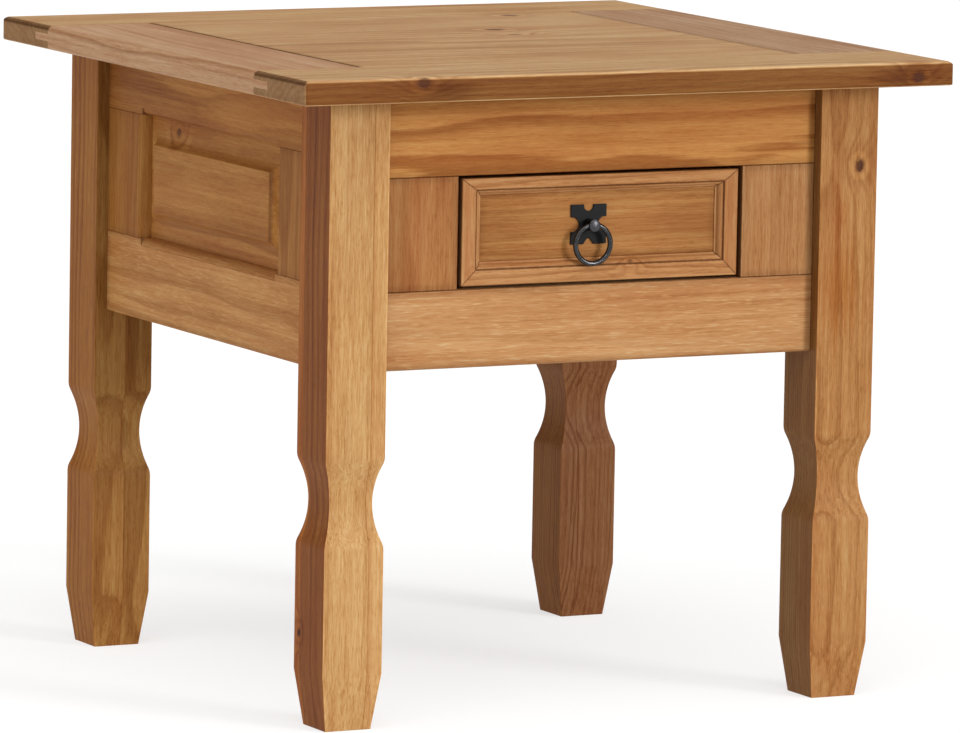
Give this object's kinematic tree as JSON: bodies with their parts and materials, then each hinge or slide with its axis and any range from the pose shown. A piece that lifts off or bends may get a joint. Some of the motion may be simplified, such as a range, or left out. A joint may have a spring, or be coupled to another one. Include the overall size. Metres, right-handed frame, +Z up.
{
  "type": "side table with drawer",
  "caption": "Square side table in waxed pine with waisted legs, framed aprons and one drawer with a ring pull.",
  "frame": {"origin": "on the floor under the centre of the top", "axes": "+Z up, front with the drawer towards -Y, +X to the right seen from the front"},
  "size_m": [0.5, 0.5, 0.45],
  "materials": {
    "waxed_pine": "waxed, satin",
    "raw_pine": "bare, planed",
    "plywood": "bare, sanded",
    "black_iron": "satin black",
    "gunmetal": "dark polished",
    "zinc_steel": "zinc plated"
  },
  "bodies": {
    "frame": {"top_center_panel": "waxed_pine", "top_front_board": "waxed_pine", "top_back_board": "waxed_pine", "top_left_board": "waxed_pine", "top_right_board": "waxed_pine", "leg_front_left": "waxed_pine", "leg_front_right": "waxed_pine", "leg_back_left": "waxed_pine", "leg_back_right": "waxed_pine", "front_top_rail": "waxed_pine", "front_bottom_rail": "waxed_pine", "front_left_stile": "waxed_pine", "front_right_stile": "waxed_pine", "left_top_rail": "waxed_pine", "left_bottom_rail": "waxed_pine", "left_front_stile": "waxed_pine", "left_back_stile": "waxed_pine", "left_panel": "waxed_pine", "right_top_rail": "waxed_pine", "right_bottom_rail": "waxed_pine", "right_front_stile": "waxed_pine", "right_back_stile": "waxed_pine", "right_panel": "waxed_pine", "back_top_rail": "waxed_pine", "back_bottom_rail": "waxed_pine", "back_left_stile": "waxed_pine", "back_right_stile": "waxed_pine", "back_panel": "waxed_pine", "drawer_runner_left": "raw_pine", "drawer_runner_right": "raw_pine", "drawer_guide_left": "raw_pine", "drawer_guide_right": "raw_pine", "drawer_kicker_left": "raw_pine", "drawer_kicker_right": "raw_pine", "drawer_stops": "raw_pine", "corner_block_front_left": "raw_pine", "corner_block_front_right": "raw_pine", "corner_block_back_left": "raw_pine", "corner_block_back_right": "raw_pine", "hanger_bolts": "zinc_steel", "hanger_washers": "zinc_steel", "hanger_nuts": "zinc_steel", "top_batten_left": "raw_pine", "top_batten_right": "raw_pine", "batten_screws": "zinc_steel"},
    "drawer": {"drawer_front": "waxed_pine", "drawer_moulding_top": "waxed_pine", "drawer_moulding_bottom": "waxed_pine", "drawer_moulding_left": "waxed_pine", "drawer_moulding_right": "waxed_pine", "drawer_left_side": "raw_pine", "drawer_right_side": "raw_pine", "drawer_back": "raw_pine", "drawer_bottom": "plywood", "pull_plate": "black_iron", "pull_post": "gunmetal", "pull_screw": "zinc_steel", "pull_washer": "zinc_steel"},
    "pull_ring": {"pull_ring": "black_iron"}
  },
  "joints": [
    {"name": "drawer_slide", "type": "slide", "parent": "frame", "child": "drawer", "axis": [0, -1, 0], "range_m": [0, 0.25]},
    {"name": "ring_swing", "type": "hinge", "parent": "drawer", "child": "pull_ring", "pos_m": [-0.0075, -0.206, 0.34], "axis": [-1, 0, 0], "range_deg": [-2, 165]}
  ]
}
